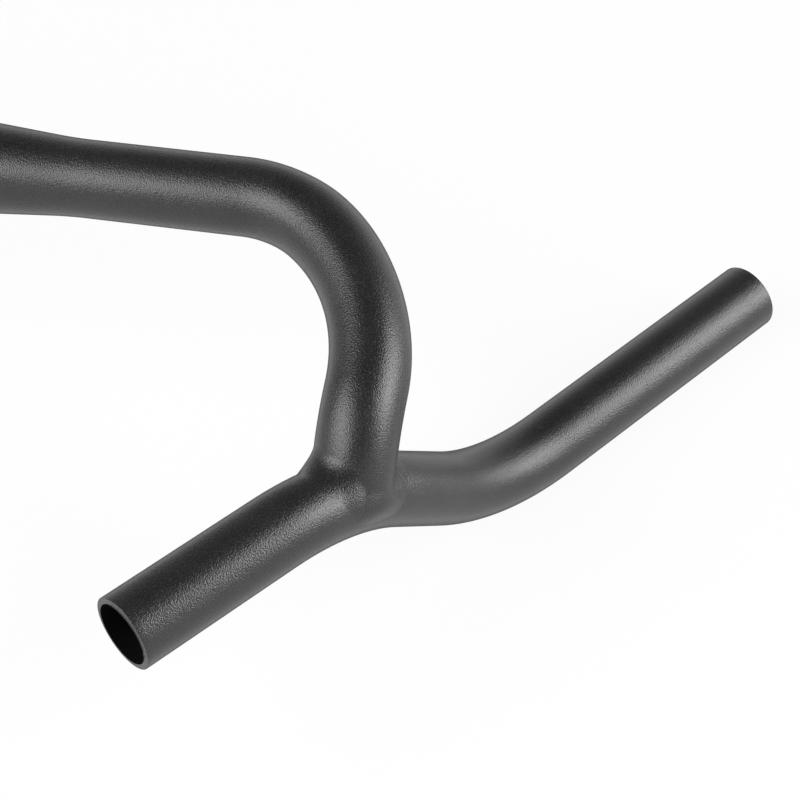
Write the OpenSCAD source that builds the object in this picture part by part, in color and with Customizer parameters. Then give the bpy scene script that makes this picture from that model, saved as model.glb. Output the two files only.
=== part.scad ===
// Gravel drop handlebar. A tapered main tube is clamped at its middle, bends forward and
// down at both ends, and lands square on two separate drop tubes. Each drop tube has a short
// open stub ahead of the joint and a flared grip behind it, and a dressed fillet weld joins it.
// Millimetres, +X right, +Y forward, +Z up, origin at the middle of the clamp zone.

/* [Clamp zone and tapers] */
// Outer diameter where the stem clamps
clamp_d = 31.8; // [30:0.1:34]
// Width of the straight clamp zone
clamp_w = 100; // [70:1:110]
// Wall thickness under the clamp
clamp_wall = 2.5; // [2:0.1:4]
// Length of each taper, from clamp diameter to tube diameter
taper_len = 63; // [50:1:70]
// Radius of the soft arcs at both ends of a taper
taper_arc = 150; // [40:5:180]

/* [Main tube] */
// Outer diameter beyond the tapers
main_d = 23.8; // [22.2:0.1:25.4]
// Wall thickness beyond the tapers
main_wall = 1.9; // [1.7:0.1:2.5]
// Width between the two joints, centre to centre
hook_w = 420; // [400:5:480]
// First bend: centre-line radius
bend_a_r = 40; // [36:1:60]
// First bend: angle
bend_a_deg = 37; // [30:0.5:45]
// First bend: how far its plane is turned down from straight ahead
bend_a_roll = 10.5; // [0:0.5:20]
// Second bend: centre-line radius
bend_b_r = 62; // [50:1:80]
// Second bend: angle
bend_b_deg = 54; // [45:0.5:60]
// Second bend: how far its plane is turned on from the first
bend_b_roll = 12; // [0:0.5:20]
// Third bend, down to the joint: centre-line radius
bend_c_r = 36; // [32:1:50]
// Third bend: angle
bend_c_deg = 49.5; // [40:0.5:55]
// Third bend: how far its plane is turned on from the second
bend_c_roll = 81.5; // [70:0.5:90]

/* [Drop tubes] */
// Outer diameter, the standard size for flat-bar grips and levers
drop_d = 22.2; // [22:0.1:23.8]
// Wall thickness
drop_wall = 1.9; // [1.5:0.1:2.5]
// Length of the straight stub ahead of the joint
stub_run = 51.5; // [40:0.5:70]
// Centre-line radius of both bends
drop_bend_r = 74; // [70:1:90]
// Angle of the front bend
front_bend_deg = 36.5; // [36:0.5:40]
// Length of the straight between the bends
mid_run = 22.5; // [10:0.5:40]
// Length of the straight rear grip
grip_run = 94; // [80:1:130]
// Flare of stub and grip, outward from straight back
flare_deg = 35.5; // [20:0.5:40]
// How far the stub rises towards its mouth while the grip is level
stub_rise_deg = 3; // [0:0.5:6]
// Rounding of the open tube mouths
mouth_round = 0.5; // [0.2:0.1:0.8]

/* [Joint and weld] */
// Place of the joint, along the front bend of the drop tube
joint_deg = 22.4; // [18:0.1:23]
// Gap from the drop tube's centre line to the end of the main tube's wall
end_clear = 3; // [2:0.5:5]
// Leg of the weld up the main tube
weld_up = 6; // [4:0.5:8]
// Leg of the weld along the drop tube, in front of and behind the joint
weld_along = 6; // [4:0.5:6]
// Extra leg where the weld wraps the sides of the drop tube
weld_side = 5; // [2:0.5:6]
// How far the weld bulges past a smooth fillet, at the sides
weld_crown = 1.2; // [0.8:0.1:1.6]

/* [Hidden] */
$fn = 240;
coat = "#2f2f31";
weld_coat = "#343436";

// A hairline band laps each joint between two runs, so that they join as one tube
seam_lap = 0.04;
seam_len = 0.3;

// The weld's outline: stations around the joint and steps from toe to toe
weld_stations = 48;
weld_steps = 4;
// How far the outline's toes sink into the tubes, so that the weld runs out thin
toe_sink = 0.25;
// How far the weld's hidden root reaches into the walls of both tubes
root_depth = 1.6;
// Steps in which a toe walks out along the drop tube
toe_walk = 6;
// Share of its chord that the weld follows each tube before it turns
fillet_hold = 0.2;
// How strongly a toe turns down around the side of the drop tube
side_turn = 0.8;
// Longest search for the seam, up from the joint, and its halvings
seam_search = 20;
seam_halvings = 22;

function unit(v) = v / norm(v);
function shift(v) = [[1, 0, 0, v.x], [0, 1, 0, v.y], [0, 0, 1, v.z], [0, 0, 0, 1]];
function spin_y(a) = [[cos(a), 0, sin(a), 0], [0, 1, 0, 0], [-sin(a), 0, cos(a), 0], [0, 0, 0, 1]];
function spin_z(a) = [[cos(a), -sin(a), 0, 0], [sin(a), cos(a), 0, 0], [0, 0, 1, 0], [0, 0, 0, 1]];

// A tube frame has z along the tube and x towards the centre of the next bend
function frame(o, x, z) = let (y = cross(z, x))
  [[x.x, y.x, z.x, o.x], [x.y, y.y, z.y, o.y], [x.z, y.z, z.z, o.z], [0, 0, 0, 1]];
function column(f, k) = [f[0][k], f[1][k], f[2][k]];
function x_of(f) = column(f, 0);
function y_of(f) = column(f, 1);
function z_of(f) = column(f, 2);
function origin_of(f) = column(f, 3);
function after_run(f, len) = f * shift([0, 0, len]);
function after_bend(f, rad, deg) = f * shift([rad, 0, 0]) * spin_y(deg) * shift([-rad, 0, 0]);

// Frames along the right half of the main tube, first as if its bends began at the origin
function bend_a_at(x) = frame([x, 0, 0], [0, 1, 0], [1, 0, 0]) * spin_z(-bend_a_roll);
function bend_b_at(x) = after_bend(bend_a_at(x), bend_a_r, bend_a_deg) * spin_z(-bend_b_roll);
function bend_c_at(x) = after_bend(bend_b_at(x), bend_b_r, bend_b_deg) * spin_z(-bend_c_roll);
function joint_at(x) = after_bend(bend_c_at(x), bend_c_r, bend_c_deg);
half_run = hook_w / 2 - origin_of(joint_at(0)).x;
bend_c_frame = bend_c_at(half_run);
joint_frame = joint_at(half_run);
joint = origin_of(joint_frame);
end_clear_deg = end_clear / bend_c_r * 180 / PI;

// Frames along the right drop tube, whose front bend carries the joint
grip_bend_deg = front_bend_deg + stub_rise_deg;
flat_heading = [sin(flare_deg), -cos(flare_deg), 0];
stub_heading = flat_heading * cos(stub_rise_deg) - [0, 0, sin(stub_rise_deg)];
stub_under = -flat_heading * sin(stub_rise_deg) - [0, 0, cos(stub_rise_deg)];
function front_bend_from(o) = after_run(frame(o, stub_under, stub_heading), stub_run);
mouth = joint - origin_of(after_bend(front_bend_from([0, 0, 0]), drop_bend_r, joint_deg));
stub_frame = frame(mouth, stub_under, stub_heading);
front_bend_frame = front_bend_from(mouth);
front_bend_centre = origin_of(front_bend_frame) + drop_bend_r * x_of(front_bend_frame);

// Taper: slope angle at which two equal arcs and a cone fill the taper's length
function slope_deg(rise) = let (k = 4 * taper_arc - rise)
  2 * atan((taper_len - sqrt(pow(taper_len, 2) - rise * k)) / k);

// Points of the two tubes that the weld follows. A point on the main tube is found from its
// distance back along the third bend, the angle around the tube and the radius.
function bend_c_deg_at(back) = bend_c_deg - back / bend_c_r * 180 / PI;
function around(turn, x, y) = cos(turn) * x + sin(turn) * y;
function main_point(back, turn, r) =
  let (f = after_bend(bend_c_frame, bend_c_r, bend_c_deg_at(back)))
  origin_of(f) + r * around(turn, x_of(f), y_of(f));
function on_drop_axis(p) =
  let (q = p - front_bend_centre, side = y_of(front_bend_frame))
  front_bend_centre + drop_bend_r * unit(q - (q * side) * side);
function drop_depth(p) = norm(p - on_drop_axis(p));
function drop_normal(p) = unit(p - on_drop_axis(p));
function on_drop(p, r) = on_drop_axis(p) + r * drop_normal(p);

// Seam: the lowest point of the main tube's wall that is outside the drop tube
function seam_back(turn, low = 0, high = seam_search, halvings = seam_halvings) =
  halvings == 0 ? max(end_clear, high) :
  let (mid = (low + high) / 2, inside = drop_depth(main_point(mid, turn, main_d / 2)) < drop_d / 2)
  seam_back(turn, inside ? mid : low, inside ? high : mid, halvings - 1);
function outward(turn) = around(turn, x_of(joint_frame), y_of(joint_frame));
function sideways(turn) = pow(outward(turn) * y_of(front_bend_frame), 2);
function toe_heading(p, turn) =
  let (v = outward(turn) + side_turn * z_of(joint_frame), n = drop_normal(p))
  unit(v - (v * n) * n);
function walk_toe(p, turn, len, steps = toe_walk) =
  steps == 0 ? p :
  walk_toe(on_drop(p + len / steps * toe_heading(p, turn), drop_d / 2), turn,
    len * (steps - 1) / steps, steps - 1);

// Cross-section of the weld at one station: down its face from toe to toe, then back inside
function bezier(a, b, c, d, t) =
  pow(1 - t, 3) * a + 3 * pow(1 - t, 2) * t * b + 3 * (1 - t) * pow(t, 2) * c + pow(t, 3) * d;
function weld_section(turn) =
  let (
    seam = seam_back(turn),
    top = main_point(seam + weld_up, turn, main_d / 2 - toe_sink),
    wall = main_point(seam, turn, main_d / 2),
    toe_len = weld_along + weld_side * sideways(turn),
    toe = walk_toe(on_drop(wall, drop_d / 2), turn, toe_len),
    toe_in = on_drop(toe, drop_d / 2 - toe_sink),
    hold = fillet_hold * norm(top - toe),
    top_lead = top + hold * unit(main_point(seam, turn, main_d / 2 - toe_sink) - top),
    toe_lead = toe_in - hold * toe_heading(toe, turn),
    bulge = weld_crown * sideways(turn) * outward(turn)
  )
  concat(
    [for (k = [0 : weld_steps]) let (t = k / weld_steps)
      bezier(top, top_lead, toe_lead, toe_in, t) + sin(180 * t) * bulge],
    [on_drop(toe, drop_d / 2 - root_depth),
      main_point(seam - root_depth, turn, main_d / 2 - root_depth),
      main_point(seam + weld_up, turn, main_d / 2 - root_depth)]
  );

// Cross-section of a tube, solid where the wall is 0
module ring(d, wall) {
  difference() {
    circle(d = d);
    if (wall > 0) circle(d = d - 2 * wall);
  }
}

module run_piece(len, d, wall) {
  linear_extrude(len) ring(d, wall);
}

// One bend from the present frame, towards +x
module bend_piece(rad, deg, d, wall) {
  translate([rad, 0, 0]) rotate([90, 0, 0]) rotate([0, 0, 180 - deg])
    rotate_extrude(angle = deg) translate([rad, 0]) ring(d, wall);
}

module seam_band(d, wall) {
  translate([0, 0, -seam_len / 2]) linear_extrude(seam_len) ring(d + 2 * seam_lap, wall + 2 * seam_lap);
}

module past_run(len) {
  translate([0, 0, len]) children();
}

module past_bend(rad, deg) {
  translate([rad, 0, 0]) rotate([0, deg, 0]) translate([-rad, 0, 0]) children();
}

// A straight run whose mouth, at the present frame, has rounded edges
module mouth_run(len, d, wall) {
  rotate_extrude() {
    translate([d / 2 - wall, mouth_round]) square([wall, len - mouth_round]);
    translate([d / 2 - wall + mouth_round, 0]) square([wall - 2 * mouth_round, mouth_round]);
    for (x = [d / 2 - mouth_round, d / 2 - wall + mouth_round])
      translate([x, mouth_round]) circle(mouth_round);
  }
}

// Half outline of the clamp zone, one taper and the straight beyond it
module taper_outline(r_clamp, r_tube) {
  slope = slope_deg(r_clamp - r_tube);
  start = clamp_w / 2;
  end = start + taper_len;
  arc_len = taper_arc * sin(slope);
  arc_rise = taper_arc * (1 - cos(slope));
  square([r_clamp, start]);
  intersection() {
    translate([r_clamp - taper_arc, start]) circle(taper_arc);
    translate([0, start]) square([r_clamp, arc_len]);
  }
  polygon([[0, start + arc_len], [r_clamp - arc_rise, start + arc_len],
    [r_tube + arc_rise, end - arc_len], [0, end - arc_len]]);
  difference() {
    translate([0, end - arc_len]) square([r_tube + arc_rise, arc_len]);
    translate([r_tube + taper_arc, end]) circle(taper_arc);
  }
  translate([0, end]) square([r_tube, half_run - end]);
}

module middle_outline(r_clamp, r_tube) {
  taper_outline(r_clamp, r_tube);
  mirror([0, 1]) taper_outline(r_clamp, r_tube);
}

// Butted middle of the main tube: thick under the clamp, thin beyond the tapers
module middle() {
  rotate([0, 90, 0]) difference() {
    rotate_extrude() middle_outline(clamp_d / 2, main_d / 2);
    rotate_extrude() middle_outline(clamp_d / 2 - clamp_wall, main_d / 2 - main_wall);
  }
}

module at_bend_a() {
  multmatrix(bend_a_at(half_run)) children();
}

module at_bend_b() {
  at_bend_a() past_bend(bend_a_r, bend_a_deg) rotate([0, 0, -bend_b_roll]) children();
}

module at_bend_c() {
  at_bend_b() past_bend(bend_b_r, bend_b_deg) rotate([0, 0, -bend_c_roll]) children();
}

// The third bend, which stops short of the drop tube's centre line
module last_bend(wall) {
  bend_piece(bend_c_r, bend_c_deg - end_clear_deg, main_d, wall);
}

// The three bends of the main tube's right end
module bent_end() {
  at_bend_a() seam_band(main_d, main_wall);
  at_bend_a() bend_piece(bend_a_r, bend_a_deg, main_d, main_wall);
  at_bend_b() seam_band(main_d, main_wall);
  at_bend_b() bend_piece(bend_b_r, bend_b_deg, main_d, main_wall);
  at_bend_c() seam_band(main_d, main_wall);
  at_bend_c() last_bend(main_wall);
}

// The front bend as a solid rod, which shapes all that lands on it
module saddle() {
  multmatrix(stub_frame) past_run(stub_run) bend_piece(drop_bend_r, front_bend_deg, drop_d, 0);
}

module main_tube() {
  color(coat) difference() {
    union() {
      middle();
      bent_end();
      mirror([1, 0, 0]) bent_end();
    }
    saddle();
    mirror([1, 0, 0]) saddle();
  }
}

module drop_tube() {
  color(coat) multmatrix(stub_frame) {
    mouth_run(stub_run, drop_d, drop_wall);
    past_run(stub_run) {
      seam_band(drop_d, drop_wall);
      bend_piece(drop_bend_r, front_bend_deg, drop_d, drop_wall);
      past_bend(drop_bend_r, front_bend_deg) {
        seam_band(drop_d, drop_wall);
        run_piece(mid_run, drop_d, drop_wall);
        past_run(mid_run) rotate([0, 0, 180]) {
          seam_band(drop_d, drop_wall);
          bend_piece(drop_bend_r, grip_bend_deg, drop_d, drop_wall);
          past_bend(drop_bend_r, grip_bend_deg) {
            seam_band(drop_d, drop_wall);
            past_run(grip_run) mirror([0, 0, 1]) mouth_run(grip_run, drop_d, drop_wall);
          }
        }
      }
    }
  }
}

// A closed ring of weld sections, cut to the outer surfaces of both tubes
module weld() {
  sections = [for (k = [0 : weld_stations - 1]) weld_section(360 * k / weld_stations)];
  size = len(sections[0]);
  count = weld_stations * size;
  color(weld_coat) difference() {
    polyhedron(
      points = [for (s = sections) each s],
      faces = [for (k = [0 : weld_stations - 1], j = [0 : size - 1])
        let (
          a = k * size + j,
          b = k * size + (j + 1) % size,
          c = (b + size) % count,
          d = (a + size) % count
        )
        each [[a, b, c], [a, c, d]]]
    );
    multmatrix(bend_c_frame) last_bend(0);
    saddle();
  }
}

main_tube();
mirror([1, 0, 0]) drop_tube();  // left_drop_tube
drop_tube();  // right_drop_tube
mirror([1, 0, 0]) weld();  // left_weld
weld();  // right_weld
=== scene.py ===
"""Dresses the packed gravel drop handlebar: bent tubes, welds, coat, studio and camera.

Every length in the classes is in millimetres, in the frame of the CAD model. The meshes are
made in millimetres and scaled to metres once they are whole. The right half of the bar is
modelled, and the left half is its mirror image.
"""

import logging
from dataclasses import dataclass, field
from enum import Enum
from math import atan, atan2, cos, degrees, exp, pi, radians, sin, sqrt, tan
from typing import Callable

import bmesh
import bpy
from bmesh.types import BMEdge, BMesh, BMVert
from bpy.types import ID, Material, Node, NodeSocket, NodeTree, Object
from mathutils import Matrix, Vector, noise


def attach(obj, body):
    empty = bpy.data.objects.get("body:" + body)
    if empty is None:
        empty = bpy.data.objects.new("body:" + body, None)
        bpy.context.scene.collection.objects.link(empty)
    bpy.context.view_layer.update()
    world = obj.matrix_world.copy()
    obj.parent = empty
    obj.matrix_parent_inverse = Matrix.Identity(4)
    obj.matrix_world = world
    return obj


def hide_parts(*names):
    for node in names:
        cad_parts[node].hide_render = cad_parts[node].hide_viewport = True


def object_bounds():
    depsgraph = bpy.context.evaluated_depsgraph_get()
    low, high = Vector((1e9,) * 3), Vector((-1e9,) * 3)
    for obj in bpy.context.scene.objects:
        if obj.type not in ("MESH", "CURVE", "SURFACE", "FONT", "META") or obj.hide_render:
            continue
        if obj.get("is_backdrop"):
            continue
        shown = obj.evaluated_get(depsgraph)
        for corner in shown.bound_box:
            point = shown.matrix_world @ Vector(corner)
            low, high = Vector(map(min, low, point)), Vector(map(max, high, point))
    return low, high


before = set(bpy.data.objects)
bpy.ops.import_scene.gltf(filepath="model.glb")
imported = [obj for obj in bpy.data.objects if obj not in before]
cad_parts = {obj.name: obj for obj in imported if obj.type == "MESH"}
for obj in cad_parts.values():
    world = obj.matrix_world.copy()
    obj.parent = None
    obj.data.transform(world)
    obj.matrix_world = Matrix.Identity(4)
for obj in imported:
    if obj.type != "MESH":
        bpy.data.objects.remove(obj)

LOG = logging.getLogger("handlebar")
METRES = 0.001
# Points nearer to each other than this are one point
MERGE = 1e-4
# The seam of a joint is looked for up to this far back along the main tube
SEAM_REACH = 20.0
SEAM_HALVINGS = 22
# Edges in the rounding of a tube's rim
RIM_STEPS = 4
# Gap between the bar's lowest point and the floor
FLOOR_GAP = 0.3
WHITE = (1.0, 1.0, 1.0, 1.0)


class Side(Enum):
    """The two halves of the bar, by the sign of their X."""

    LEFT = -1
    RIGHT = 1

    @property
    def word(self) -> str:
        """The word that starts this side's node names."""
        return self.name.lower()


# Shader nodes

def linear(code: str) -> tuple[float, float, float, float]:
    """Turns an sRGB hex colour to linear values.

    Args:
        code: the colour, such as "#2f2f31".

    Returns:
        Linear red, green and blue, and full alpha.
    """
    parts = [int(code[k:k + 2], 16) / 255 for k in (1, 3, 5)]
    r, g, b = [c / 12.92 if c <= 0.04045 else ((c + 0.055) / 1.055) ** 2.4 for c in parts]
    return (r, g, b, 1.0)


def add_node(tree: NodeTree, kind: str, settings: dict | None = None,
             inputs: dict | None = None) -> Node:
    """Adds one node with its settings and links.

    Args:
        tree: the node tree that gets the node.
        kind: the node's type name.
        settings: attributes of the node and their values.
        inputs: sockets by name or number, each with a value or a socket to link from.

    Returns:
        The new node.
    """
    node = tree.nodes.new(kind)
    for key, value in (settings or {}).items():
        setattr(node, key, value)
    for key, value in (inputs or {}).items():
        if isinstance(value, NodeSocket):
            tree.links.new(value, node.inputs[key])
        else:
            node.inputs[key].default_value = value
    return node


def seen_directly(tree: NodeTree) -> NodeSocket:
    """Tells what the camera sees, straight, mirrored or through glass, from other light.

    Args:
        tree: the node tree.

    Returns:
        A socket that is 1 for what is seen and 0 for light that falls on the bar.
    """
    rays = add_node(tree, "ShaderNodeLightPath").outputs
    seen = add_node(tree, "ShaderNodeMath", {"operation": "MAXIMUM"}, {
        0: rays["Is Camera Ray"], 1: rays["Is Glossy Ray"]})
    seen = add_node(tree, "ShaderNodeMath", {"operation": "MAXIMUM"}, {
        0: seen.outputs[0], 1: rays["Is Transmission Ray"]})
    return seen.outputs[0]


def empty_material(name: str) -> tuple[Material, NodeTree]:
    """Makes a material with no nodes.

    Args:
        name: the material's name.

    Returns:
        The material and its node tree.
    """
    material = bpy.data.materials.new(name)
    material.use_nodes = True
    material.node_tree.nodes.clear()
    return material, material.node_tree


def put(name: str, data: ID) -> Object:
    """Makes an object and links it to the scene.

    Args:
        name: the object's name.
        data: its mesh, light or camera.

    Returns:
        The object.
    """
    obj = bpy.data.objects.new(name, data)
    bpy.context.collection.objects.link(obj)
    return obj


# Finishes

@dataclass(frozen=True)
class PowderCoat:
    """Fine-textured matt black powder coat, sprayed and baked on aluminium.

    To the eye it is a dark neutral grey with a fine sandy grain that sparkles where a lamp
    is mirrored, and a soft, wide sheen along each tube.

    Args:
        name: the material's name.
        colour: the coat's colour.
        dark_colour: its colour in the darker patches.
        bright_colour: the colour of single specks.
        ior: the coat's refractive index.
        roughness: its mean roughness.
        rough_spread: how much the roughness differs from speck to speck.
        graze_dulling: how much rougher it is where it is seen along its surface.
        grain: size of the fine grain.
        grain_height: how proud the grain stands.
        sand: size of the sandy lumps under the grain.
        sand_height: how proud the lumps stand.
        speck: size of the specks.
        mottle: size of the darker patches.
        mottle_span: where the mottle's noise turns from dark to plain.
        speck_span: where the specks' noise turns from plain to bright.
        rough_span: where the specks' noise turns from smooth to rough.
        graze_span: where the surface turns from faced to grazed.
    """

    name: str
    colour: str = "#1f1f20"
    dark_colour: str = "#161617"
    bright_colour: str = "#2e2e30"
    ior: float = 1.6
    roughness: float = 0.34
    rough_spread: float = 0.12
    graze_dulling: float = 0.4
    # The real grain is about 0.3 mm. Grain, sand and specks are drawn at 0.4 to 0.6 mm,
    # which is coarser, so that they show
    grain: float = 0.38
    grain_height: float = 0.1
    sand: float = 0.6
    sand_height: float = 0.03
    speck: float = 0.45
    mottle: float = 14.0
    mottle_span: tuple[float, float] = (0.35, 0.65)
    speck_span: tuple[float, float] = (0.5, 0.75)
    rough_span: tuple[float, float] = (0.3, 0.7)
    graze_span: tuple[float, float] = (0.65, 0.95)

    def tint(self, tree: NodeTree, place: NodeSocket, speck: NodeSocket) -> NodeSocket:
        """Makes the coat's colour, with its darker patches and brighter specks.

        Args:
            tree: the node tree.
            place: the Object coordinates.
            speck: the specks' noise.

        Returns:
            The socket of the colour.
        """
        mottle = add_node(tree, "ShaderNodeTexNoise", {}, {
            "Vector": place, "Scale": 1 / (self.mottle * METRES), "Detail": 3.0})
        shade = add_node(tree, "ShaderNodeMapRange", {}, {
            "Value": mottle.outputs["Fac"], "From Min": self.mottle_span[0],
            "From Max": self.mottle_span[1], "To Min": 0.0, "To Max": 1.0})
        patched = add_node(tree, "ShaderNodeMix", {"data_type": "RGBA"}, {
            "Factor": shade.outputs["Result"], 6: linear(self.dark_colour),
            7: linear(self.colour)})
        sparkle = add_node(tree, "ShaderNodeMapRange", {}, {
            "Value": speck, "From Min": self.speck_span[0], "From Max": self.speck_span[1],
            "To Min": 0.0, "To Max": 1.0})
        specked = add_node(tree, "ShaderNodeMix", {"data_type": "RGBA"}, {
            "Factor": sparkle.outputs["Result"], 6: patched.outputs[2],
            7: linear(self.bright_colour)})
        return specked.outputs[2]

    def gloss(self, tree: NodeTree, speck: NodeSocket) -> NodeSocket:
        """Makes the coat's roughness.

        Args:
            tree: the node tree.
            speck: the specks' noise.

        Returns:
            The socket of the roughness.
        """
        half = self.rough_spread / 2
        rough = add_node(tree, "ShaderNodeMapRange", {}, {
            "Value": speck, "From Min": self.rough_span[0], "From Max": self.rough_span[1],
            "To Min": self.roughness - half, "To Max": self.roughness + half})
        # Seen along its surface, the grain shades itself and the sheen dulls
        facing = add_node(tree, "ShaderNodeLayerWeight", {}, {"Blend": 0.5}).outputs["Facing"]
        dulling = add_node(tree, "ShaderNodeMapRange", {"interpolation_type": "SMOOTHSTEP"}, {
            "Value": facing, "From Min": self.graze_span[0], "From Max": self.graze_span[1],
            "To Min": 0.0, "To Max": self.graze_dulling})
        dulled = add_node(tree, "ShaderNodeMath", {"operation": "ADD"}, {
            0: rough.outputs["Result"], 1: dulling.outputs["Result"]})
        return dulled.outputs[0]

    def relief(self, tree: NodeTree, place: NodeSocket) -> NodeSocket:
        """Makes the coat's grain, on top of its sandy lumps.

        Args:
            tree: the node tree.
            place: the Object coordinates.

        Returns:
            The socket of the normal.
        """
        sand = add_node(tree, "ShaderNodeTexVoronoi", {}, {
            "Vector": place, "Scale": 1 / (self.sand * METRES)})
        lumps = add_node(tree, "ShaderNodeBump", {}, {
            "Height": sand.outputs["Distance"], "Strength": 1.0,
            "Distance": self.sand_height * METRES})
        grain = add_node(tree, "ShaderNodeTexNoise", {}, {
            "Vector": place, "Scale": 1 / (self.grain * METRES), "Detail": 0.5})
        bumps = add_node(tree, "ShaderNodeBump", {}, {
            "Height": grain.outputs["Fac"], "Strength": 1.0,
            "Distance": self.grain_height * METRES, "Normal": lumps.outputs["Normal"]})
        return bumps.outputs["Normal"]

    def material(self) -> Material:
        """Builds the coat's nodes.

        Returns:
            The material, on Object coordinates.
        """
        material, tree = empty_material(self.name)
        place = add_node(tree, "ShaderNodeTexCoord").outputs["Object"]
        speck = add_node(tree, "ShaderNodeTexNoise", {}, {
            "Vector": place, "Scale": 1 / (self.speck * METRES), "Detail": 1.0}).outputs["Fac"]
        shader = add_node(tree, "ShaderNodeBsdfPrincipled", {}, {
            "Base Color": self.tint(tree, place, speck), "Roughness": self.gloss(tree, speck),
            "Normal": self.relief(tree, place), "IOR": self.ior, "Metallic": 0.0})
        add_node(tree, "ShaderNodeOutputMaterial", {}, {"Surface": shader.outputs["BSDF"]})
        return material


@dataclass(frozen=True)
class BoreShade:
    """Painted shade inside the tubes: a dull colour near black, darker than the coat itself.

    To the eye it is a hole: nearly black, with no sheen.

    Args:
        name: the material's name.
        colour: its near-black colour, which is painted shade.
        patch_colour: its colour in random, slightly lighter patches.
        patch: size of those patches.
        roughness: its roughness.
        ior: its refractive index.
        sheen: how strong its reflections are.
    """

    name: str = "painted_shade_in_bore"
    # Near-black painted shade, darker than the coat, so that the bore reads as a dark hole
    colour: str = "#060606"
    patch_colour: str = "#0c0c0c"
    patch: float = 5.0
    roughness: float = 0.9
    ior: float = 1.3
    sheen: float = 0.2

    def material(self) -> Material:
        """Builds the nodes of the bore's painted shade: near black, in random, slightly lighter
        patches.

        Returns:
            The material, on Object coordinates.
        """
        material, tree = empty_material(self.name)
        place = add_node(tree, "ShaderNodeTexCoord").outputs["Object"]
        patches = add_node(tree, "ShaderNodeTexNoise", {}, {
            "Vector": place, "Scale": 1 / (self.patch * METRES), "Detail": 3.0})
        colour = add_node(tree, "ShaderNodeMix", {"data_type": "RGBA"}, {
            "Factor": patches.outputs["Fac"], 6: linear(self.colour),
            7: linear(self.patch_colour)})
        shader = add_node(tree, "ShaderNodeBsdfPrincipled", {}, {
            "Base Color": colour.outputs[2], "Roughness": self.roughness, "IOR": self.ior,
            "Specular IOR Level": self.sheen})
        add_node(tree, "ShaderNodeOutputMaterial", {}, {"Surface": shader.outputs["BSDF"]})
        return material


@dataclass(frozen=True)
class StudioPaper:
    """Plain white studio paper under the bar, which keeps the bar's soft shadow.

    Args:
        name: the material's name.
        colour: the paper's colour.
        glow: how much of it is plain white where it is seen.
    """

    name: str = "studio_paper"
    colour: str = "#f4f4f4"
    glow: float = 0.92

    def material(self) -> Material:
        """Builds the paper: part plain diffuse, part white for what sees it directly.

        Returns:
            The material.
        """
        material, tree = empty_material(self.name)
        share = add_node(tree, "ShaderNodeMath", {"operation": "MULTIPLY"}, {
            0: seen_directly(tree), 1: self.glow})
        paper = add_node(tree, "ShaderNodeBsdfDiffuse", {}, {"Color": linear(self.colour)})
        white = add_node(tree, "ShaderNodeEmission", {}, {"Color": WHITE, "Strength": 1.0})
        mixed = add_node(tree, "ShaderNodeMixShader", {}, {
            0: share.outputs[0], 1: paper.outputs[0], 2: white.outputs[0]})
        add_node(tree, "ShaderNodeOutputMaterial", {}, {"Surface": mixed.outputs[0]})
        return material


# Tube bending

def tube_frame(origin: Vector, x: Vector, z: Vector) -> Matrix:
    """Makes a tube's frame.

    Args:
        origin: a point on the centre line.
        x: the direction from there to the centre of the next bend.
        z: the direction along the tube.

    Returns:
        The frame.
    """
    y = z.cross(x)
    rows = [[x[k], y[k], z[k], origin[k]] for k in range(3)]
    return Matrix(rows + [[0, 0, 0, 1]])


def rolled(place: Matrix, angle: float) -> Matrix:
    """The frame turned about the tube by an angle in degrees."""
    return place @ Matrix.Rotation(radians(angle), 4, "Z")


def advanced(place: Matrix, length: float) -> Matrix:
    """The frame after a straight run."""
    return place @ Matrix.Translation((0, 0, length))


def curved(place: Matrix, radius: float, angle: float) -> Matrix:
    """The frame after a bend by an angle in degrees."""
    turn = Matrix.Rotation(radians(angle), 4, "Y")
    return place @ Matrix.Translation((radius, 0, 0)) @ turn @ Matrix.Translation((-radius, 0, 0))


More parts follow.
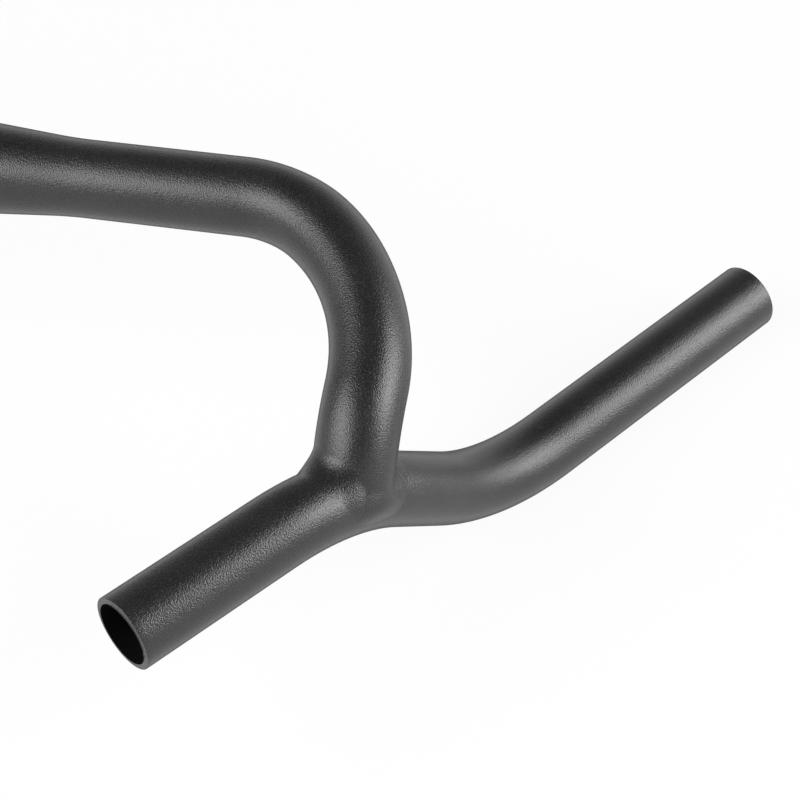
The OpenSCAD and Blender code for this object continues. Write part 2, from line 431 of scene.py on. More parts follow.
@dataclass
class Skin:
    """One surface of a tube, drawn out ring by ring as the tube is bent.

    Args:
        bm: the mesh that gets the rings.
        place: the tube's frame at the newest ring.
        radius: the radius of the newest ring.
        segments: how many edges a ring has.
        first: the edges of the first ring.
        ring: the edges of the newest ring.
        rings: the points of every ring.
        widening: how much a flattened ring widens, as a share of its flattening.
    """

    bm: BMesh
    place: Matrix
    radius: float
    segments: int = 96
    first: list[BMEdge] = field(default_factory=list)
    ring: list[BMEdge] = field(default_factory=list)
    rings: list[list[BMVert]] = field(default_factory=list)
    widening: float = 0.35

    def __post_init__(self) -> None:
        """Draws the first ring."""
        made = bmesh.ops.create_circle(self.bm, cap_ends=False, segments=self.segments,
                                       radius=self.radius, matrix=self.place)
        verts = made["verts"]
        self.first = sorted({e for v in verts for e in v.link_edges}, key=lambda e: e.index)
        self.ring = list(self.first)
        self.rings = [verts]

    def step(self, change: Matrix) -> None:
        """Draws the next ring out of the newest one.

        Args:
            change: how the new ring stands to the old one, in the frame of the bar.
        """
        made = bmesh.ops.extrude_edge_only(self.bm, edges=self.ring)["geom"]
        verts = [g for g in made if isinstance(g, BMVert)]
        new = set(verts)
        self.ring = [g for g in made if isinstance(g, BMEdge) and set(g.verts) <= new]
        bmesh.ops.transform(self.bm, matrix=change, verts=verts)
        self.rings.append(verts)

    def run(self, length: float, steps: int,
            shape: Callable[[float], float] | None = None) -> None:
        """Draws a straight run.

        Args:
            length: how long it is.
            steps: how many rings it takes.
            shape: the radius at each share of the run, where the tube tapers.
        """
        for k in range(steps):
            radius = shape((k + 1) / steps) if shape else self.radius
            scale = radius / self.radius
            after = advanced(self.place, length / steps)
            self.step(after @ Matrix.Diagonal((scale, scale, 1, 1)) @ self.place.inverted())
            self.place = after
            self.radius = radius

    def bend(self, radius: float, angle: float, steps: int, flat: float = 0.0) -> None:
        """Draws a bend towards the frame's x.

        Args:
            radius: the centre line's radius.
            angle: how far it turns, in degrees.
            steps: how many rings it takes.
            flat: how much of its own radius the tube's outer side loses half-way round.
        """
        start = len(self.rings)
        frames = []
        for _ in range(steps):
            after = curved(self.place, radius, angle / steps)
            self.step(after @ self.place.inverted())
            self.place = after
            frames.append(after)
        if not flat:
            return
        # Only now, because each ring is drawn out of the one before it
        for k, (verts, place) in enumerate(zip(self.rings[start:], frames)):
            self.pinch(verts, place, flat * sin(pi * (k + 1) / steps) ** 2)

    def pinch(self, verts: list[BMVert], place: Matrix, amount: float) -> None:
        """Flattens the outer side of a ring and widens the ring.

        Args:
            verts: the ring's points.
            place: the tube's frame there.
            amount: how much of its own radius the outer side loses.
        """
        back = place.inverted()
        for vert in verts:
            local = back @ vert.co
            outer = max(0.0, -local.x / self.radius)
            local.x *= 1 - amount * outer
            local.y *= 1 + self.widening * amount
            vert.co = place @ local

    def roll(self, angle: float) -> None:
        """Turns the plane of the next bend, without turning the tube."""
        self.place = rolled(self.place, angle)


def finish_mesh(bm: BMesh, name: str, coats: list[Material], mirror: bool = False,
                smooth_angle: float = 40.0) -> Object:
    """Turns a mesh in millimetres into a shown object in metres.

    Args:
        bm: the mesh, which is freed.
        name: the object's name.
        coats: its materials; a second one is for the bore.
        mirror: whether the shape belongs on the other side of the bar.
        smooth_angle: edges sharper than this, in degrees, stay crisp.

    Returns:
        The object, at the origin.
    """
    if mirror:
        bmesh.ops.scale(bm, vec=(-1, 1, 1), verts=bm.verts)
    bmesh.ops.scale(bm, vec=(METRES,) * 3, verts=bm.verts)
    bmesh.ops.remove_doubles(bm, verts=bm.verts, dist=MERGE * METRES)
    bmesh.ops.recalc_face_normals(bm, faces=bm.faces)
    for face in bm.faces:
        face.smooth = True
    for edge in bm.edges:
        edge.smooth = edge.is_manifold and edge.calc_face_angle(0.0) < radians(smooth_angle)
    mesh = bpy.data.meshes.new(name)
    bm.to_mesh(mesh)
    bm.free()
    for coat in coats:
        mesh.materials.append(coat)
    LOG.info("%s: %d faces", name, len(mesh.polygons))
    return put(name, mesh)


def line_bore(bm: BMesh, start: int) -> None:
    """Gives the faces of an inner skin the bore's material, whose near-black colour is painted
    shade.

    Args:
        bm: the tube's mesh.
        start: how many faces the mesh had before the inner skin was drawn.
    """
    for face in list(bm.faces)[start:]:
        face.material_index = 1


def turns_about(place: Matrix, verts: list[BMVert]) -> list[float]:
    """Measures the angles of a ring's points around a tube.

    Args:
        place: the tube's frame.
        verts: the ring's points.

    Returns:
        The angles, in radians.
    """
    back = place.inverted()
    points = [back @ vert.co for vert in verts]
    return [atan2(point.y, point.x) for point in points]


def close_mouth(bm: BMesh, outer: list[BMEdge], inner: list[BMEdge], rounding: float) -> None:
    """Closes a tube's end between its two skins and rounds both rims.

    Args:
        bm: the tube's mesh.
        outer: the outer skin's end ring.
        inner: the inner skin's end ring.
        rounding: the radius of the rounded rims.
    """
    bmesh.ops.bridge_loops(bm, edges=outer + inner)
    bmesh.ops.bevel(bm, geom=outer + inner, offset=rounding, offset_type="OFFSET",
                    segments=RIM_STEPS, profile=0.5, affect="EDGES", material=-1)


# The bar's two tubes

@dataclass
class MainTubePath:
    """Centre line and radii of the main tube's right half, as it is bent.

    Args:
        clamp_d: outer diameter of the clamp zone.
        clamp_w: width of the clamp zone.
        clamp_wall: wall thickness there.
        taper_len: length of the taper.
        taper_arc: radius of the arcs at both ends of the taper.
        tube_d: outer diameter beyond the taper.
        wall: wall thickness there.
        hook_w: distance between the two joints.
        radii: centre line radius of each bend, from the middle outwards.
        angles: how far each bend turns, in degrees.
        rolls: how far the plane turns before each bend, in degrees.
        flats: how much of its own radius the outer side of each bend loses.
    """

    clamp_d: float = 31.8
    clamp_w: float = 100.0
    clamp_wall: float = 2.5
    taper_len: float = 63.0
    taper_arc: float = 150.0
    tube_d: float = 23.8
    wall: float = 1.9
    hook_w: float = 420.0
    radii: tuple[float, float, float] = (40.0, 62.0, 36.0)
    angles: tuple[float, float, float] = (37.0, 54.0, 49.5)
    rolls: tuple[float, float, float] = (10.5, 12.0, 81.5)
    flats: tuple[float, float, float] = (0.02, 0.035, 0.0)

    def on_clamp_axis(self, x: float) -> Matrix:
        """The tube's frame on the clamp axis, with +Y as the side it first bends to."""
        return tube_frame(Vector((x, 0, 0)), Vector((0, 1, 0)), Vector((1, 0, 0)))

    def bend_at(self, index: int, x: float) -> Matrix:
        """The frame at the start of a bend, turned to its plane.

        Args:
            index: which bend, from 0; 3 gives the joint.
            x: where the first bend starts.

        Returns:
            The tube's frame there.
        """
        place = self.on_clamp_axis(x)
        for k in range(index):
            place = curved(rolled(place, -self.rolls[k]), self.radii[k], self.angles[k])
        return rolled(place, -self.rolls[index]) if index < 3 else place

    @property
    def half_run(self) -> float:
        """Distance from the middle of the bar to its first bend."""
        return self.hook_w / 2 - self.bend_at(3, 0).translation.x

    @property
    def joint(self) -> Matrix:
        """The frame where the main tube's centre line meets the drop tube's."""
        return self.bend_at(3, self.half_run)

    @property
    def last_bend(self) -> Matrix:
        """The frame where the third bend starts."""
        return self.bend_at(2, self.half_run)

    def back_from_joint(self, back: float) -> Matrix:
        """The frame at a distance back from the joint, along the third bend."""
        angle = self.angles[2] - degrees(back / self.radii[2])
        return curved(self.last_bend, self.radii[2], angle)

    def point(self, back: float, turn: float, radius: float) -> Vector:
        """A point on the tube near the joint.

        Args:
            back: distance from the joint along the third bend.
            turn: angle around the tube, in radians.
            radius: distance from the centre line.

        Returns:
            The point.
        """
        place = self.back_from_joint(back)
        return place @ Vector((radius * cos(turn), radius * sin(turn), 0))

    def taper(self, r_clamp: float, r_tube: float) -> Callable[[float], float]:
        """The radius along a taper: an arc, a cone and an arc.

        Args:
            r_clamp: radius at the clamp zone.
            r_tube: radius of the tube.

        Returns:
            A function of the share of the taper, from 0 to 1.
        """
        rise = r_clamp - r_tube
        k = 4 * self.taper_arc - rise
        slope = 2 * atan((self.taper_len - sqrt(self.taper_len ** 2 - rise * k)) / k)
        arc_len = self.taper_arc * sin(slope)

        def radius(share: float) -> float:
            """Finds the radius at a share of the taper.

            Args:
                share: the share, from 0 at the clamp zone to 1 at the tube.

            Returns:
                The radius.
            """
            x = share * self.taper_len
            if x < arc_len:
                return r_clamp - self.taper_arc + sqrt(self.taper_arc ** 2 - x ** 2)
            x_left = self.taper_len - x
            if x_left < arc_len:
                return r_tube + self.taper_arc - sqrt(self.taper_arc ** 2 - x_left ** 2)
            return r_clamp - self.taper_arc * (1 - cos(slope)) - (x - arc_len) * tan(slope)

        return radius


@dataclass
class DropTubePath:
    """Centre line of the right drop tube, from the stub's mouth to the grip's end.

    Args:
        tube_d: outer diameter.
        wall: wall thickness.
        stub_run: length of the straight stub.
        bend_r: centre line radius of both bends.
        front_bend: how far the front bend turns, in degrees.
        mid_run: length of the straight between the bends.
        grip_run: length of the straight grip.
        flare: how far the tube points outwards, in degrees.
        stub_rise: how far the stub rises to its mouth, in degrees.
        joint_angle: how far into the front bend the joint stands, in degrees.
        joint: where the two centre lines meet.
    """

    tube_d: float = 22.2
    wall: float = 1.9
    stub_run: float = 51.5
    bend_r: float = 74.0
    front_bend: float = 36.5
    mid_run: float = 22.5
    grip_run: float = 94.0
    flare: float = 35.5
    stub_rise: float = 3.0
    joint_angle: float = 22.4
    joint: Vector = field(default_factory=Vector)

    def stub_from(self, mouth: Vector) -> Matrix:
        """Places the stub's frame at its mouth.

        Args:
            mouth: the middle of the mouth.

        Returns:
            The frame, which points along the stub to the joint.
        """
        flare, rise = radians(self.flare), radians(self.stub_rise)
        level = Vector((sin(flare), -cos(flare), 0))
        heading = level * cos(rise) - Vector((0, 0, sin(rise)))
        under = -level * sin(rise) - Vector((0, 0, cos(rise)))
        return tube_frame(mouth, under, heading)

    @property
    def stub(self) -> Matrix:
        """The frame at the stub's mouth.

        Returns:
            The frame, from which the stub and part of the front bend reach the joint.
        """
        ahead = advanced(self.stub_from(Vector()), self.stub_run)
        reach = curved(ahead, self.bend_r, self.joint_angle).translation
        return self.stub_from(self.joint - reach)

    @property
    def front_bend_start(self) -> Matrix:
        """The frame where the front bend starts."""
        return advanced(self.stub, self.stub_run)

    def on_axis(self, point: Vector) -> Vector:
        """Finds the nearest point of the front bend's centre line.

        Args:
            point: any point near the bend.

        Returns:
            The point on the centre line.
        """
        place = self.front_bend_start
        centre = place @ Vector((self.bend_r, 0, 0))
        side = place.to_3x3() @ Vector((0, 1, 0))
        arm = point - centre
        arm -= side * arm.dot(side)
        return centre + arm.normalized() * self.bend_r

    def normal(self, point: Vector) -> Vector:
        """The direction away from the front bend's centre line."""
        return (point - self.on_axis(point)).normalized()

    def depth(self, point: Vector) -> float:
        """Distance from the front bend's centre line."""
        return (point - self.on_axis(point)).length

    def onto(self, point: Vector, radius: float) -> Vector:
        """The point moved to a radius around the front bend."""
        return self.on_axis(point) + self.normal(point) * radius


def leaves_at(main: MainTubePath, drop: DropTubePath, turn: float, radius: float) -> float:
    """Finds where a skin of the main tube comes out of the drop tube.

    Args:
        main: the main tube's path.
        drop: the drop tube's path.
        turn: angle around the main tube, in radians.
        radius: the skin's radius.

    Returns:
        The distance back from the joint.
    """
    low, high = 0.0, SEAM_REACH
    for _ in range(SEAM_HALVINGS):
        middle = (low + high) / 2
        inside = drop.depth(main.point(middle, turn, radius)) < drop.tube_d / 2
        low, high = (middle, high) if inside else (low, middle)
    return high


@dataclass
class MainTube:
    """The tapered main tube, one piece from joint to joint.

    Args:
        path: its path.
        drop: the drop tube's path, on which it ends.
        coat: its finish.
        run_rings: rings in half the clamp zone, in the taper and in the straight after it.
        ring_gap: distance from ring to ring in the bends.
        seat_rings: how many rings share the pull to the drop tube.
        seat_fade: distance behind the joint at which no pull would be left.
    """

    path: MainTubePath
    drop: DropTubePath
    coat: Material
    run_rings: tuple[int, int, int] = (10, 40, 16)
    ring_gap: float = 1.25
    seat_rings: int = 12
    seat_fade: float = 40.0

    def rings_in(self, bend: int) -> int:
        """How many rings a bend takes, by its number from 0."""
        return round(self.path.radii[bend] * radians(self.path.angles[bend]) / self.ring_gap)

    def draw(self, bm: BMesh, r_clamp: float, r_tube: float) -> Skin:
        """Draws one skin of the right half, from the middle to the joint.

        Args:
            bm: the mesh that gets it.
            r_clamp: its radius in the clamp zone.
            r_tube: its radius beyond the taper.

        Returns:
            The skin.
        """
        path = self.path
        skin = Skin(bm, path.on_clamp_axis(0.0), r_clamp)
        clamp_rings, taper_rings, straight_rings = self.run_rings
        skin.run(path.clamp_w / 2, clamp_rings)
        skin.run(path.taper_len, taper_rings, path.taper(r_clamp, r_tube))
        skin.run(path.half_run - path.clamp_w / 2 - path.taper_len, straight_rings)
        for k, (radius, angle) in enumerate(zip(path.radii, path.angles)):
            skin.roll(-path.rolls[k])
            skin.bend(radius, angle, self.rings_in(k), path.flats[k])
        return skin

    def seat(self, skin: Skin, radius: float) -> None:
        """Pulls the last rings back so that the tube's end lies on the drop tube.

        Args:
            skin: the skin, drawn up to the joint.
            radius: its radius.
        """
        path = self.path
        turns = turns_about(path.joint, skin.rings[-1])
        step = radians(path.angles[-1]) * path.radii[-1] / self.rings_in(-1)
        for index, turn in enumerate(turns):
            end = leaves_at(path, self.drop, turn, radius)
            for k in range(self.seat_rings):
                behind = step * k
                pull = end * (1 - k / self.seat_rings) * (1 - behind / self.seat_fade)
                skin.rings[-1 - k][index].co = path.point(behind + pull, turn, radius)

    def build(self) -> Object:
        """Builds the whole tube with both walls.

        Returns:
            The tube, standing for its CAD node.
        """
        path = self.path
        bm = bmesh.new()
        outer = self.draw(bm, path.clamp_d / 2, path.tube_d / 2)
        inner = self.draw(bm, path.clamp_d / 2 - path.clamp_wall, path.tube_d / 2 - path.wall)
        self.seat(outer, path.tube_d / 2)
        self.seat(inner, path.tube_d / 2 - path.wall)
        bmesh.ops.bridge_loops(bm, edges=outer.ring + inner.ring)
        bmesh.ops.mirror(bm, geom=bm.verts[:] + bm.edges[:] + bm.faces[:], axis="X",
                         merge_dist=MERGE)
        tube = finish_mesh(bm, "main_bar", [self.coat])
        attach(tube, "root")
        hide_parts("main_tube")
        return tube


@dataclass
class DropTube:
    """A drop tube: open stub, front bend, short straight, rear bend and open grip.

    Args:
        path: its path.
        side: the half of the bar it is on.
        coat: the finish of its outside.
        bore: the material of its inside, whose near-black colour is painted shade.
        flats: how much of its own radius the outer side of each bend loses.
        mouth_round: radius of the rounded rims.
        inset: how far both mouths stand back from the ends of the path.
        run_rings: rings in the stub, between the bends and in the grip.
        bend_rings: rings in each bend.
    """

    path: DropTubePath
    side: Side
    coat: Material
    bore: Material
    flats: tuple[float, float] = (0.0, 0.02)
    mouth_round: float = 0.3
    inset: float = 0.15
    run_rings: tuple[int, int, int] = (24, 8, 40)
    bend_rings: int = 36

    def draw(self, bm: BMesh, radius: float) -> Skin:
        """Draws one skin from mouth to mouth.

        Args:
            bm: the mesh that gets it.
            radius: its radius.

        Returns:
            The skin.
        """
        path = self.path
        skin = Skin(bm, advanced(path.stub, self.inset), radius)
        stub_rings, mid_rings, grip_rings = self.run_rings
        skin.run(path.stub_run - self.inset, stub_rings)
        skin.bend(path.bend_r, path.front_bend, self.bend_rings, self.flats[0])
        skin.run(path.mid_run, mid_rings)
        skin.roll(180)
        # The rear bend also takes back the stub's rise, so that the grip is level
        rear_bend = path.front_bend + path.stub_rise
        skin.bend(path.bend_r, rear_bend, self.bend_rings, self.flats[1])
        skin.run(path.grip_run - self.inset, grip_rings)
        return skin

    def build(self) -> Object:
        """Builds the tube with both walls and rounded mouths.

        Returns:
            The tube, standing for its CAD node.
        """
        path = self.path
        bm = bmesh.new()
        outer = self.draw(bm, path.tube_d / 2)
        start = len(bm.faces)
        inner = self.draw(bm, path.tube_d / 2 - path.wall)
        line_bore(bm, start)
        close_mouth(bm, outer.first, inner.first, self.mouth_round)
        close_mouth(bm, outer.ring, inner.ring, self.mouth_round)
        tube = finish_mesh(bm, f"{self.side.word}_drop", [self.coat, self.bore],
                           self.side is Side.LEFT)
        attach(tube, "root")
        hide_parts(f"{self.side.word}_drop_tube")
        return tube


def near(angle: float, middle: float, width: float) -> float:
    """A smooth bump of height 1 around an angle, all in radians."""
    apart = (angle - middle + pi) % (2 * pi) - pi
    return exp(-(apart / width) ** 2)


@dataclass
class DressedWeld:
    """The fillet weld around a joint, filed smooth before the coat, with faint ripples.

    A station is an angle around the main tube, in radians, and its front is at pi. The web
    is the wide part that fills the front corner between the two tubes.

    Args:
        main: the main tube's path.
        drop: the drop tube's path.
        side: the half of the bar it is on.
        coat: its finish.
        stations: how many stations it is drawn at.
        face_steps: how many steps its face takes from top to toe.
        up: its climb up the main tube.
        front_up: what is added to the climb in front.
        web_up: what is added to the climb in the web.
        web_turn: the station of the web.
        rear_turn: the station of the rear corner.
        web_width: how far around the web reaches, in radians.
        front_width: how far around the front's climb reaches, in radians.
        tail_width: how far around the tail reaches, in radians.
        hollow_width: how far around the web's hollow face reaches, in radians.
        along: its way over the drop tube.
        wrap: what is added to that way at the sides.
        tail: what is added to that way in front.
        crown: how far its face swells at the sides.
        web_crown: how far its face swells in front.
        crown_power: how slowly the swelling starts.
        top_sink: how deep its top edge lies in the main tube.
        toe_sink: how deep its toe lies in the drop tube.
        root_depth: how deep its root lies in both tubes.
        top_hold: share of the face's length that leaves along the main tube.
        toe_hold: share of it that lands along the drop tube.
        bevel: how straight the face is at the sides, from 0 to 1.
        bevel_hold: share of top_hold that a straight face takes away.
        side_turn: how far its toe drifts down the joint.
        walk: how many steps its way over the drop tube takes.
        end_clear: least distance between the seam and the joint.
        ripple: height of the ripples.
        ripple_count: how many ripples a full turn has.
        web_ripple_width: how far around the web's ripples reach, in radians.
        rear_ripple_width: how far around the rear corner's ripples reach, in radians.
        ripple_bow: how much each ripple bows, in radians of its wave.
        patch_rate: how fast the ripples come and go around the tube.
        patch_rise: how fast they come and go down the face.
        patch_mean: their mean strength.
        patch_depth: how much their strength changes.
    """

    main: MainTubePath
    drop: DropTubePath
    side: Side
    coat: Material
    stations: int = 360
    face_steps: int = 26
    up: float = 2.6
    front_up: float = 2.0
    web_up: float = 4.0
    web_turn: float = 1.83
    rear_turn: float = -0.95
    web_width: float = 0.55
    front_width: float = 0.6
    tail_width: float = 0.3
    hollow_width: float = 0.7
    along: float = 6.0
    wrap: float = 2.6
    tail: float = 2.6
    crown: float = 1.2
    web_crown: float = 0.7
    crown_power: float = 1.5
    top_sink: float = 0.02
    toe_sink: float = 0.04
    root_depth: float = 1.6
    top_hold: float = 0.42
    toe_hold: float = 0.22
    bevel: float = 0.6
    bevel_hold: float = 0.7
    side_turn: float = 0.8
    walk: int = 10
    end_clear: float = 3.0
    ripple: float = 0.45
    ripple_count: int = 46
    web_ripple_width: float = 0.3
    rear_ripple_width: float = 0.4
    ripple_bow: float = 7.0
    patch_rate: float = 2.4
    patch_rise: float = 2.5
    patch_mean: float = 0.6
    patch_depth: float = 0.5

    def outward(self, turn: float) -> Vector:
        """The direction away from the main tube's axis at the joint."""
        return self.main.joint.to_3x3() @ Vector((cos(turn), sin(turn), 0))

    def sideways(self, turn: float) -> float:
        """How far a station stands to the side of the drop tube, from 0 to 1."""
        across = self.drop.front_bend_start.to_3x3() @ Vector((0, 1, 0))
        return self.outward(turn).dot(across) ** 2

    def forwards(self, turn: float) -> float:
        """How far a station stands in front of the joint, from 0 to 1."""
        ahead = self.drop.front_bend_start.to_3x3() @ Vector((0, 0, -1))
        return max(0.0, self.outward(turn).dot(ahead)) ** 2

    def ripple_at(self, turn: float, t: float) -> float:
        """Height of the bead's ripples, which the filing left in the two corners.

        Args:
            turn: the station.
            t: share of the way down the face.

        Returns:
            The height in millimetres.
        """
        corner = (near(turn, self.web_turn, self.web_ripple_width)
                  + near(turn, self.rear_turn, self.rear_ripple_width))
        wave = 0.5 + 0.5 * cos(self.ripple_count * turn + self.ripple_bow * (t - 0.5) ** 2)
        place = Vector((self.patch_rate * cos(turn), self.patch_rate * sin(turn),
                        t * self.patch_rise))
        patch = self.patch_mean + self.patch_depth * noise.noise(place)
        return self.ripple * corner * wave * patch * sin(pi * t) ** 2

    def toe_heading(self, point: Vector, turn: float) -> Vector:
        """Finds the way that the weld's toe runs over the drop tube.

        Args:
            point: where the toe is.
            turn: the station.

        Returns:
            The direction, along the drop tube's surface.
        """
        down = self.main.joint.to_3x3() @ Vector((0, 0, 1))
        way = self.outward(turn) + self.side_turn * down
        normal = self.drop.normal(point)
        return (way - normal * way.dot(normal)).normalized()

    def toe(self, wall: Vector, turn: float) -> Vector:
        """Walks over the drop tube to the weld's toe.

        Args:
            wall: the seam's point on the main tube's wall.
            turn: the station.

        Returns:
            The toe, on the drop tube's surface.
        """
        r_drop = self.drop.tube_d / 2
        toe = self.drop.onto(wall, r_drop)
        length = (self.along + self.wrap * self.sideways(turn)
                  + self.tail * near(turn, pi, self.tail_width))
        for _ in range(self.walk):
            toe = self.drop.onto(toe + self.toe_heading(toe, turn) * (length / self.walk), r_drop)
        return toe

    def face(self, corners: list[Vector], turn: float) -> list[Vector]:
        """Draws the weld's face at one station.

        Args:
            corners: the four control points of its curve, from top to toe.
            turn: the station.

        Returns:
            The points of the face.
        """
        out = self.outward(turn)
        crown = self.crown * self.sideways(turn) + self.web_crown * self.forwards(turn)
        points = []
        for k in range(self.face_steps + 1):
            t = k / self.face_steps
            shares = ((1 - t) ** 3, 3 * (1 - t) ** 2 * t, 3 * (1 - t) * t ** 2, t ** 3)
            point = sum((p * s for p, s in zip(corners, shares)), Vector())
            swell = crown * sin(pi * t) ** self.crown_power
            points.append(point + out * (swell + self.ripple_at(turn, t)))
        return points

    def section(self, turn: float) -> list[Vector]:
        """Draws the weld's outline at one station.

        Args:
            turn: the station.

        Returns:
            Points down its face from top to toe, then back inside the tubes.
        """
        main, drop = self.main, self.drop
        r_main, r_drop = main.tube_d / 2, drop.tube_d / 2
        seam = max(self.end_clear, leaves_at(main, drop, turn, r_main))
        up = (self.up + self.web_up * near(turn, self.web_turn, self.web_width)
              + self.front_up * near(turn, pi, self.front_width))
        top = main.point(seam + up, turn, r_main - self.top_sink)
        toe = self.toe(main.point(seam, turn, r_main), turn)
        toe_in = drop.onto(toe, r_drop - self.toe_sink)
        span = (top - toe).length
        beside = (self.bevel * (1 - (1 - self.sideways(turn)) ** 3)
                  * (1 - near(turn, self.web_turn, self.hollow_width)))
        hold = self.top_hold * (1 - self.bevel_hold * beside) * span
        leaving = main.point(seam + up - hold, turn, r_main - self.top_sink)
        landing = toe_in - self.toe_heading(toe, turn) * (self.toe_hold * span)
        landing = landing.lerp(toe_in.lerp(leaving, 0.5), beside)
        root = [drop.onto(toe, r_drop - self.root_depth),
                main.point(seam - self.root_depth, turn, r_main - self.root_depth),
                main.point(seam + up, turn, r_main - self.root_depth)]
        return self.face([top, leaving, landing, toe_in], turn) + root

    def build(self) -> Object:
        """Builds the weld as a closed ring, with its ripples.

        Returns:
            The weld, standing for its CAD node.
        """
        bm = bmesh.new()
        skin = Skin(bm, self.main.joint, self.main.tube_d / 2, self.stations)
        outlines = [self.section(turn) for turn in turns_about(self.main.joint, skin.rings[0])]
        for _ in range(len(outlines[0]) - 1):
            skin.step(Matrix.Identity(4))
        for k, verts in enumerate(skin.rings):
            for vert, outline in zip(verts, outlines):
                vert.co = outline[k]
        bmesh.ops.bridge_loops(bm, edges=skin.first + skin.ring)
        weld = finish_mesh(bm, f"{self.side.word}_fillet", [self.coat], self.side is Side.LEFT,
                           smooth_angle=60.0)
        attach(weld, "root")
        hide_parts(f"{self.side.word}_weld")
        return weld


# Studio and camera

@dataclass(frozen=True)
class SoftBox:
    """A soft rectangular lamp that faces what it lights.

    Args:
        name: the lamp's name.
        way: the direction from what it lights to the lamp.
        size: its width and height.
        power: its power in watts.
        distance: how far off it hangs.
    """

    name: str
    way: tuple[float, float, float]
    size: tuple[float, float]
    power: float = 17.0
    distance: float = 1300.0

    def hang(self, aim: Vector) -> None:
        """Hangs the lamp.

        Args:
            aim: what it faces.
        """
        light = bpy.data.lights.new(self.name, "AREA")
        light.shape = "RECTANGLE"
        light.size, light.size_y = [edge * METRES for edge in self.size]
        light.energy = self.power
        place = aim + Vector(self.way) * self.distance
        lamp = put(self.name, light)
        lamp.location = place * METRES
        lamp.rotation_mode = "QUATERNION"
        lamp.rotation_quaternion = (aim - place).to_track_quat("-Z", "Y")


@dataclass
class Studio:
    """Pale floor, soft lamps and a plain world.

    Args:
        floor_z: height of the floor.
        span: width of the floor.
        cells: how many faces the floor has along each edge.
        aim: what the lamps face.
        lamps: the lamps.
        low_light: strength of the world's light at the horizon.
        ceiling_light: its strength overhead.
        light_span: heights between which it dims, as the sine of the angle.
        backdrop_span: heights between which the white that is seen ends.
    """

    floor_z: float
    span: float = 6000.0
    cells: int = 4
    aim: tuple[float, float, float] = (-215, 60, -40)
    lamps: tuple[SoftBox, ...] = (
        SoftBox("right_box", (0.587, 0.492, 0.643), (1250, 850)),
        SoftBox("left_box", (-0.886, -0.188, 0.423), (850, 900)),
    )
    low_light: float = 0.5
    ceiling_light: float = 0.08
    light_span: tuple[float, float] = (0.1, 0.8)
    backdrop_span: tuple[float, float] = (0.2, 0.3)

    def floor(self) -> None:
        """Lays the paper just under the grips."""
        bm = bmesh.new()
        place = Matrix.Translation((0, 0, self.floor_z * METRES))
        bmesh.ops.create_grid(bm, x_segments=self.cells, y_segments=self.cells,
                              size=self.span * METRES / 2, matrix=place)
        mesh = bpy.data.meshes.new("floor")
        bm.to_mesh(mesh)
        bm.free()
        mesh.materials.append(StudioPaper().material())
        obj = put("floor", mesh)
        obj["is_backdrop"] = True

    def world(self) -> None:
        """Makes the world: a white backdrop all around, and a dim ceiling above it."""
        world = bpy.data.worlds.new("studio_world")
        bpy.context.scene.world = world
        world.use_nodes = True
        tree = world.node_tree
        tree.nodes.clear()
        way = add_node(tree, "ShaderNodeTexCoord").outputs["Generated"]
        height = add_node(tree, "ShaderNodeSeparateXYZ", {}, {0: way}).outputs["Z"]
        shade = add_node(tree, "ShaderNodeMapRange", {"interpolation_type": "SMOOTHSTEP"}, {
            "Value": height, "From Min": self.light_span[0], "From Max": self.light_span[1],
            "To Min": self.low_light, "To Max": self.ceiling_light})
        around = add_node(tree, "ShaderNodeBackground", {}, {
            "Color": WHITE, "Strength": shade.outputs["Result"]})
        low = add_node(tree, "ShaderNodeMapRange", {"interpolation_type": "SMOOTHSTEP"}, {
            "Value": height, "From Min": self.backdrop_span[0],
            "From Max": self.backdrop_span[1], "To Min": 1.0, "To Max": 0.0})
        share = add_node(tree, "ShaderNodeMath", {"operation": "MULTIPLY"}, {
            0: seen_directly(tree), 1: low.outputs["Result"]})
        white = add_node(tree, "ShaderNodeBackground", {}, {"Color": WHITE, "Strength": 1.0})
        mixed = add_node(tree, "ShaderNodeMixShader", {}, {
            0: share.outputs[0], 1: around.outputs[0], 2: white.outputs[0]})
        add_node(tree, "ShaderNodeOutputWorld", {}, {"Surface": mixed.outputs[0]})

    def build(self) -> None:
        """Sets the studio up."""
        self.floor()
        self.world()
        for lamp in self.lamps:
            lamp.hang(Vector(self.aim))


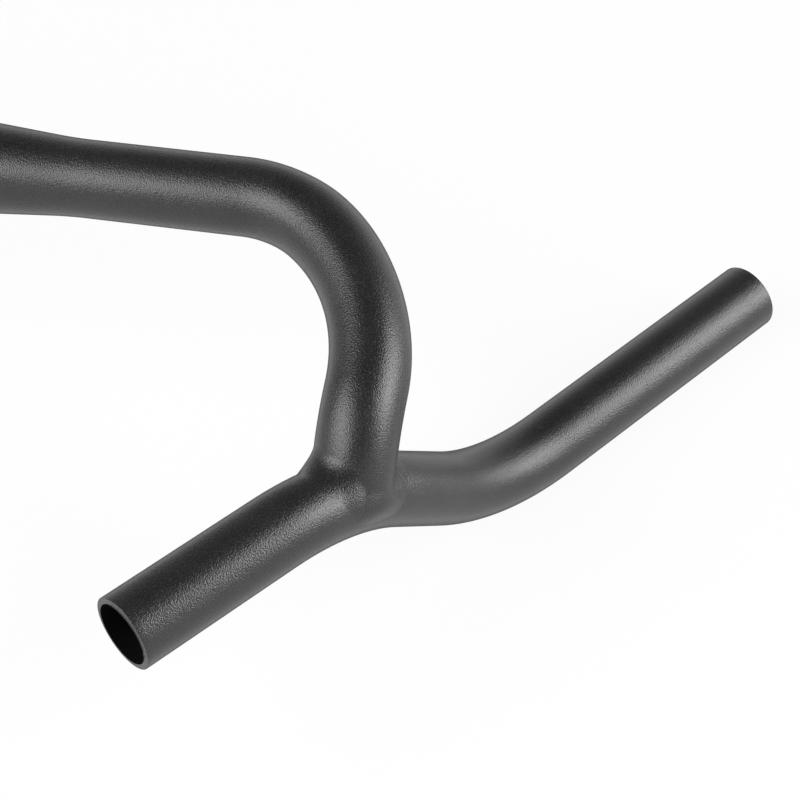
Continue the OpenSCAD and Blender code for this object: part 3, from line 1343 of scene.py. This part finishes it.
@dataclass
class PhotoCamera:
    """The camera at the photograph's view, from the fit of the bar's edges.

    Args:
        place: where it stands, in millimetres.
        azimuth: its heading, in radians.
        elevation: how far it looks down, in radians.
        roll: its roll, in radians.
        focal: its focal length, in pixels of the image.
        image_width: the image's width in pixels.
        sensor_width: the camera's sensor width.
    """

    place: Vector = field(default_factory=lambda: Vector((-317.259, 422.571, 392.115)))
    azimuth: float = 0.2591908
    elevation: float = 0.825129
    roll: float = 0.0621920
    focal: float = 1984.977
    image_width: float = 800.0
    sensor_width: float = 36.0

    def build(self) -> None:
        """Makes the camera and hands it to the scene."""
        data = bpy.data.cameras.new("photo_camera")
        data.sensor_width = self.sensor_width
        data.lens = self.focal * self.sensor_width / self.image_width
        sin_a, cos_a = sin(self.azimuth), cos(self.azimuth)
        sin_e, cos_e = sin(self.elevation), cos(self.elevation)
        ahead = Vector((sin_a * cos_e, -cos_a * cos_e, -sin_e))
        level_right = Vector((-cos_a, -sin_a, 0))
        level_down = ahead.cross(level_right)
        right = level_right * cos(self.roll) + level_down * sin(self.roll)
        down = level_down * cos(self.roll) - level_right * sin(self.roll)
        rows = [[right[k], -down[k], -ahead[k], self.place[k] * METRES] for k in range(3)]
        camera = put("photo_camera", data)
        camera.matrix_world = Matrix(rows + [[0, 0, 0, 1]])
        bpy.context.scene.camera = camera


def main() -> None:
    """Builds the bar, its studio and its camera."""
    logging.basicConfig(level=logging.INFO, format="%(name)s: %(message)s")
    cad = [list(corner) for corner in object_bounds()]
    tube_coat = PowderCoat("powder_coat_on_tube").material()
    weld_coat = PowderCoat("powder_coat_on_weld").material()
    # The bore's near-black colour is painted shade inside the tubes
    bore_shade = BoreShade().material()
    main_path = MainTubePath()
    drop_path = DropTubePath(joint=main_path.joint.translation)
    MainTube(main_path, drop_path, tube_coat).build()
    for side in Side:
        DropTube(drop_path, side, tube_coat, bore_shade).build()
        DressedWeld(main_path, drop_path, side, weld_coat).build()
    Studio(floor_z=cad[0][2] / METRES - FLOOR_GAP).build()
    PhotoCamera().build()
    view = bpy.context.scene.view_settings
    view.view_transform = "Standard"
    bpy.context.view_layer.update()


if __name__ == "__main__":
    main()
